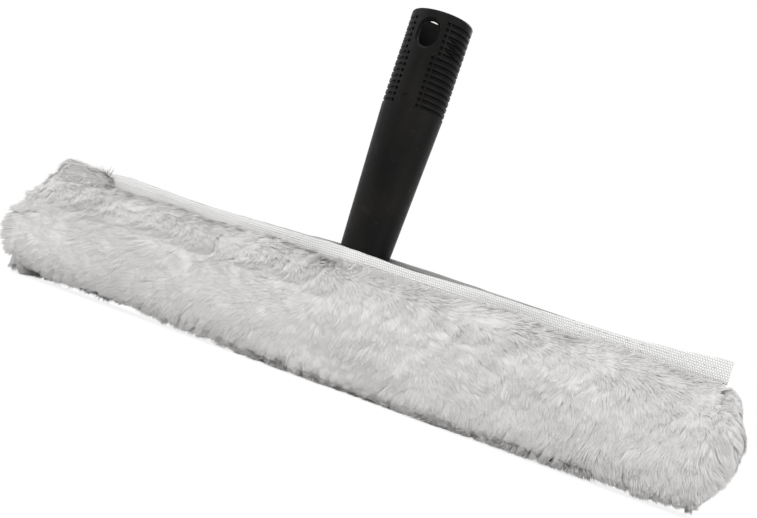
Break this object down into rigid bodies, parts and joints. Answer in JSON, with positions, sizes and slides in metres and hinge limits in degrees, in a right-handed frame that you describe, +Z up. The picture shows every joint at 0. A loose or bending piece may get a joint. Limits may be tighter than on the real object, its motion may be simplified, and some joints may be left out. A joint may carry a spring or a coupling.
{
  "type": "window scrubber",
  "caption": "Window scrubber: a long plush washer sleeve on a T-bar, with a grooved hollow grip that takes an extension pole.",
  "frame": {"origin": "middle of the flat strip that the sleeve stands on, below the handle's axis", "axes": "+Z up along the handle towards its open end, +X along the bar towards the closing flap, -Y towards the front of the sleeve"},
  "size_m": [0.36, 0.045, 0.1781],
  "materials": {
    "handle_plastic": "black moulded plastic with a fine spark-eroded texture",
    "bar_plastic": "dark grey moulded plastic",
    "rivet_steel": "plated steel",
    "plush": "dense off-white plush pile, brushed in strokes",
    "backing": "plain knitted backing cloth",
    "woven_hem": "white open-weave strip",
    "tape": "white hook-and-loop tape",
    "thread": "white sewing thread"
  },
  "bodies": {
    "scrubber": {"handle": "handle_plastic", "crossbar": "bar_plastic", "left_end_plug": "bar_plastic", "right_end_plug": "bar_plastic", "tongue_rivets": "rivet_steel", "rivet_washers": "rivet_steel", "pile_cover": "plush", "backing_cloth": "backing", "left_end_panel": "plush", "right_end_panel": "plush", "front_hem": "woven_hem", "rear_hem": "woven_hem", "loop_tape": "tape", "hem_joining_stitches": "thread", "front_hem_stitches": "thread", "rear_hem_stitches": "thread", "loop_tape_stitches": "thread", "left_end_stitches": "thread", "right_end_stitches": "thread"},
    "flap": {"closing_flap": "woven_hem", "hook_tape": "tape", "flap_stitches": "thread"}
  },
  "joints": [
    {"name": "flap_fold", "type": "hinge", "parent": "scrubber", "child": "flap", "pos_m": [0.1275, -0.00145, 0.058], "axis": [1, 0, 0], "range_deg": [0, 75]}
  ]
}
